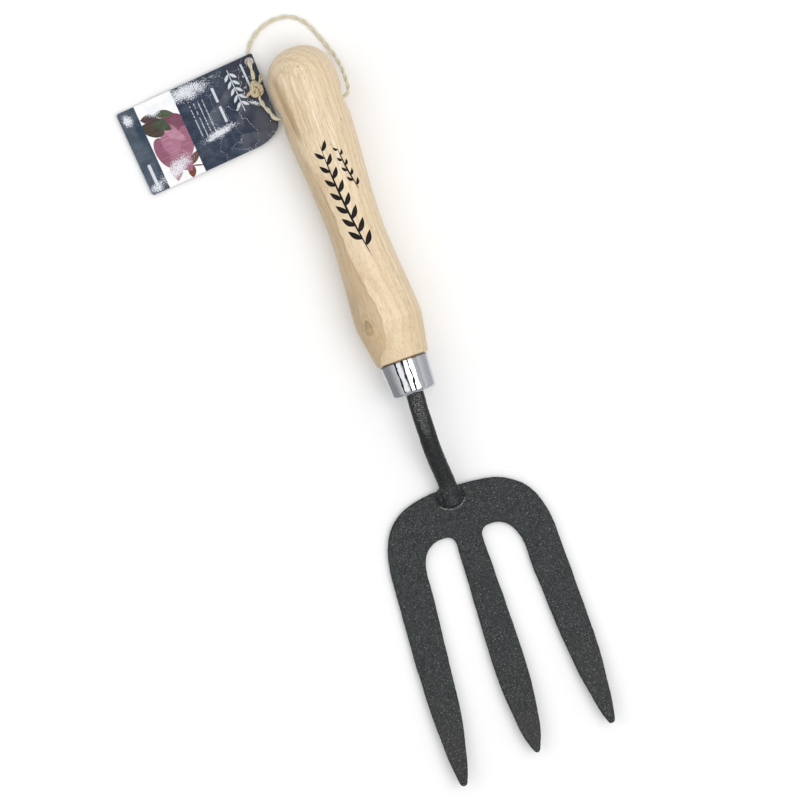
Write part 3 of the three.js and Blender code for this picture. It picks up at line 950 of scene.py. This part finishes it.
def make_handle():
    profile = handle_profile()
    verts, faces = turned([(BUTT_Y - along, radius) for along, radius in profile], HANDLE_SIDES)
    shape = (verts + (0, 0, AXIS_Z), faces)
    handle = new_piece("handle_turned", shape)
    # Both countersinks and the hole between them are one cutter, turned about X
    rim = handle_high[0] + 0.5
    half = [(0.0, CROSS_HOLE_RADIUS), (rim - COUNTERSINK_DEPTH, CROSS_HOLE_RADIUS),
            (rim, COUNTERSINK_RADIUS), (rim + 2, COUNTERSINK_RADIUS + 3.5)]
    whole = [(-along, radius) for along, radius in half[:0:-1]] + half
    verts, faces = turned(whole, 48)
    turned_about_x = np.column_stack([verts[:, 1], verts[:, 0], verts[:, 2]]) + (0, CROSS_HOLE[1], AXIS_Z)
    cut(handle, (turned_about_x, faces))
    dress(handle, "tool", wood_finish(), ["handle"], crisp=32)
    return profile


def shell(outer, inner):
    """A closed thin solid between two grids of points of the same shape."""
    rows, columns = outer.shape[:2]
    verts = np.vstack([outer.reshape(-1, 3), inner.reshape(-1, 3)])
    behind = rows * columns
    faces = []
    for r in range(rows - 1):
        for c in range(columns - 1):
            a = r * columns + c
            quad = (a, a + 1, a + columns + 1, a + columns)
            faces.append(quad)
            faces.append(tuple(i + behind for i in reversed(quad)))
    edge = list(range(columns))
    edge += [r * columns + columns - 1 for r in range(1, rows)]
    edge += [(rows - 1) * columns + c for c in range(columns - 2, -1, -1)]
    edge += [r * columns for r in range(rows - 2, 0, -1)]
    for a, b in zip(edge, edge[1:] + edge[:1]):
        faces.append((a, a + behind, b + behind, b))
    return verts, faces


PRINT_PROUD = 0.05
PRINT_DEEP = 0.12


def crosswise(axis):
    """The direction to the left of a direction in the plane."""
    return np.array([-axis[1], axis[0]]) / np.linalg.norm(axis)


def printed_leaf(start, end, width, bow, profile):
    """A leaf or stem printed on the handle, from start to end, (across, y), bowed sideways."""
    start, end = np.array(start, float), np.array(end, float)
    axis = end - start
    across = crosswise(axis)
    t = np.linspace(0.0, 1.0, 15)
    middle = start + t[:, None] * axis + (bow * np.sin(math.pi * t))[:, None] * across
    half = np.maximum(width / 2 * np.sin(math.pi * t ** 0.85) ** 0.9, 0.03)
    lanes = np.linspace(-1, 1, 5)
    flat = middle[:, None] + (half[:, None] * lanes)[..., None] * across
    radius = np.interp(BUTT_Y - flat[..., 1], profile[:, 0], profile[:, 1])
    angle = flat[..., 0] / radius
    layers = []
    for lift in (PRINT_PROUD, -PRINT_DEEP):
        layers.append(np.stack([(radius + lift) * np.sin(angle), flat[..., 1],
                                AXIS_Z + (radius + lift) * np.cos(angle)], axis=-1))
    return shell(*layers)


# Stems as (start, end, width, bow), and their leaves as (count, length, width)
MAIN_STEM, MAIN_LEAVES = ((2.6, 112.5), (-2.6, 164.0), 0.9, 1.2), (15, 7.4, 2.5)
SIDE_STEM, SIDE_LEAVES = ((7.4, 141.0), (4.0, 160.5), 0.7, 0.6), (8, 3.8, 1.5)


def sprig(stem, leaves, profile):
    start, end, width, bow = stem
    leaf_count, leaf_length, leaf_width = leaves
    shapes = [printed_leaf(start, end, width, bow, profile)]
    start, end = np.array(start), np.array(end)
    axis = end - start
    across = crosswise(axis)
    for i in range(leaf_count):
        share = 0.1 + 0.84 * i / (leaf_count - 1)
        root = start + share * axis + bow * math.sin(math.pi * share) * across
        side = 1 if i % 2 else -1
        reach = unit(axis) * 0.78 + side * across * 0.62
        size = leaf_length * (1 - 0.35 * share)
        leaf_end = root + reach * size
        shapes.append(printed_leaf(root, leaf_end, leaf_width * (1 - 0.3 * share), side * 0.35, profile))
    return shapes


def make_print(profile):
    shape = joined(sprig(MAIN_STEM, MAIN_LEAVES, profile) + sprig(SIDE_STEM, SIDE_LEAVES, profile))
    sprigs = new_piece("handle_print", shape)
    dress(sprigs, "tool", ink_finish(), [])


# ---------- ferrule and steel

FERRULE_SIDES = 128
FERRULE_WALL = 0.8
FERRULE_EDGE = 1.8
ROD_RADIUS = 3.8
ROD_GAP = 0.3
NECK_PATH = (
    (0, 57.3, 14.9), (-0.1, 52, 14.9), (-0.6, 46, 14.9), (-0.9, 37, 14.5), (-1.05, 28, 12.7),
    (-0.7, 20, 9.9), (-0.2, 12, 7.6), (-0.4, 5.2, 6.2), (-0.5, 2.6, 5.7),
)
WELD_CENTRE = (-0.6, 6.1, 3.3)
WELD_SIZE = (6.0, 5.4, 4.2)


def make_ferrule():
    """A drawn cup: a rolled lip at the wood, a slight taper, a rounded foot closed round the rod."""
    top, foot = ferrule_high[1], ferrule_low[1]
    wide = ferrule_high[0]
    narrow = wide - 0.8
    hole = ROD_RADIUS + ROD_GAP
    corner = [(foot + FERRULE_EDGE * (1 - math.cos(a)), narrow - FERRULE_EDGE * (1 - math.sin(a)))
              for a in np.linspace(0, math.pi / 2, 9)]
    wall = [(y, narrow + (wide - narrow) * (y - foot - FERRULE_EDGE) / (top - foot - FERRULE_EDGE))
            for y in np.linspace(foot + FERRULE_EDGE, top - 0.5, 40)[1:]]
    lip = [(top - 0.25, wide - 0.02), (top - 0.05, wide - 0.16), (top, wide - 0.4)]
    inside = [
        (top, wide - FERRULE_WALL), (foot + FERRULE_EDGE + FERRULE_WALL, narrow - FERRULE_WALL),
        (foot + FERRULE_WALL, narrow - 2.2), (foot + FERRULE_WALL, hole), (foot + FERRULE_WALL / 2, hole),
        (foot + 0.1, hole), (foot, hole + 0.15),
    ]
    profile = corner + wall + lip + inside
    verts = np.vstack(rings_about_y(profile, FERRULE_SIDES)) + (0, 0, AXIS_Z)
    starts = list(range(0, len(verts), FERRULE_SIDES))
    faces = []
    for near, far in zip(starts, starts[1:] + starts[:1]):
        faces += band(near, far, FERRULE_SIDES)
    ferrule = new_piece("ferrule_drawn", (verts, faces))
    roughen(ferrule, ((0.05, 6.0),))
    dress(ferrule, "tool", chrome_finish(), ["ferrule"], crisp=50)


def forged(piece, lumps, finish, node):
    roughen(piece, lumps)
    dress(piece, "tool", finish, [node])


def make_steel():
    steel = steel_finish()
    line = smooth_line(NECK_PATH, 150)
    neck = new_piece("neck_forged", tube(line, ROD_RADIUS, 48))
    forged(neck, ((0.14, 6.0), (0.1, 1.4)), steel, "neck_rod")

    ball = [(-math.cos(a), math.sin(a)) for a in np.linspace(0.03, math.pi - 0.03, 40)]
    verts, faces = turned(ball, 72)
    verts = verts * WELD_SIZE + WELD_CENTRE
    verts[:, 2] = np.maximum(verts[:, 2], PLATE / 2)
    weld = new_piece("weld_lumps", (verts, faces))
    forged(weld, ((0.7, 3.0), (0.3, 1.3)), steel, "weld_bead")

    # The head's outline is the frame's own; its edges are rounded and its faces beaten
    head = new_object("head_forged", frame["nodes"]["fork_head"].data.copy())
    remesh = head.modifiers.new("remesh", "REMESH")
    remesh.mode = "VOXEL"
    remesh.voxel_size = 0.45 * MM
    rounding = head.modifiers.new("rounding", "SMOOTH")
    rounding.factor = 0.5
    rounding.iterations = 7
    settle(head)
    forged(head, ((0.2, 9.0), (0.1, 1.5)), steel, "fork_head")


# ---------- label

CARD_YAW = 4.8                  # degrees
CARD_TILT = 2.1
CARD_RIGHT, CARD_TOP = 2.5, 3.0
CARD_LEFT, CARD_BOTTOM = -60.9, -34.8
CARD_SLANT = 2                  # by which the bottom of the right edge lies further left
CARD_THICKNESS = 0.34
CARD_CORNER = 1.0
LOW_CORNER = (13.0, 7.5)        # the rounding of the corner by the handle, along x and along y
CARD_HOLE_RADIUS = 1.9


def fold(distance, height, width):
    return height * np.exp(-np.abs(distance) / width)


def rise(value, start, reach):
    """0 up to start and 1 after a further reach; a negative reach runs the other way."""
    return np.clip((value - start) / reach, 0, 1)


def card_height(x, y):
    """How far the card stands off its plane; it is flat about its hole."""
    curled_end = 1.1 * rise(x, -50, -11) ** 2
    long_crease = fold(y + 22.5 + 0.25 * (x + 34), 0.55, 2.6) * rise(x, -46, 14) * rise(x, -3, -8)
    short_crease = fold(0.5 * (x + 22) - 0.86 * (y + 12), 0.25, 3.0) * rise(x, -8, -8)
    bent_corner = -1.1 * rise(x - 0.7 * (y + 24), -14, 22) ** 2 * rise(y, -14, -10)
    bow = 0.35 * np.sin((x - CARD_LEFT) / (CARD_RIGHT - CARD_LEFT) * math.pi) * rise(x, -2, -8)
    waves = [noise.noise(Vector((a * 0.13, b * 0.13, 4.0))) for a, b in zip(x.ravel(), y.ravel())]
    dents = 0.3 * np.array(waves).reshape(x.shape) * rise(x, -5, -8)
    return curled_end + long_crease + short_crease + bent_corner + bow + dents


def round_off(gap, radius):
    """How far a rounded corner draws back, at a gap from where its rounding starts."""
    return radius - np.sqrt(np.maximum(radius ** 2 - gap ** 2, 0))


def card_edges():
    """Rows of points down the card, and how far left and right each of them goes."""
    low_x, low_y = LOW_CORNER
    top_rows = [CARD_TOP - CARD_CORNER * (1 - math.cos(a)) for a in np.linspace(0, math.pi / 2, 6)]
    middle_rows = np.linspace(CARD_TOP - CARD_CORNER, CARD_BOTTOM + low_y, 62)[1:-1]
    low_rows = [CARD_BOTTOM + low_y * (1 - math.cos(a)) for a in np.linspace(math.pi / 2, 0, 17)]
    y = np.array([*top_rows, *middle_rows, *low_rows])
    top_draw = round_off(np.maximum(y - (CARD_TOP - CARD_CORNER), 0), CARD_CORNER)
    left_draw = round_off(np.maximum(CARD_BOTTOM + CARD_CORNER - y, 0), CARD_CORNER)
    right_draw = round_off(np.maximum(CARD_BOTTOM + low_y - y, 0), low_y) * low_x / low_y
    slant = CARD_SLANT * (CARD_TOP - y) / (CARD_TOP - CARD_BOTTOM)
    return y, CARD_LEFT + top_draw + left_draw, CARD_RIGHT - slant - top_draw - right_draw


def make_card():
    y, left, right = card_edges()
    share = np.linspace(0, 1, 121)
    x = left[:, None] + (right - left)[:, None] * share
    y = np.broadcast_to(y[:, None], x.shape)
    z = card_height(x, y)
    half = CARD_THICKNESS / 2
    shape = shell(np.stack([x, y, z + half], axis=-1), np.stack([x, y, z - half], axis=-1))
    card = new_piece("label_printed", shape)
    punch = turned([(-3, CARD_HOLE_RADIUS), (3, CARD_HOLE_RADIUS)], 32)
    cut(card, (punch[0][:, [0, 2, 1]], punch[1]))
    yaw = Matrix.Rotation(math.radians(CARD_YAW), 4, "Z")
    tilt = Matrix.Rotation(math.radians(-CARD_TILT), 4, "Y")
    card.matrix_world = Matrix.Translation(Vector(CARD_HOLE) * MM) @ yaw @ tilt
    dress(card, "label", card_finish(), ["label_card"], crisp=40)


# ---------- the scene

make_camera()
make_twine()
make_stage()
make_world()
make_lights()
handle_line = make_handle()
make_print(handle_line)
make_ferrule()
make_steel()
make_card()
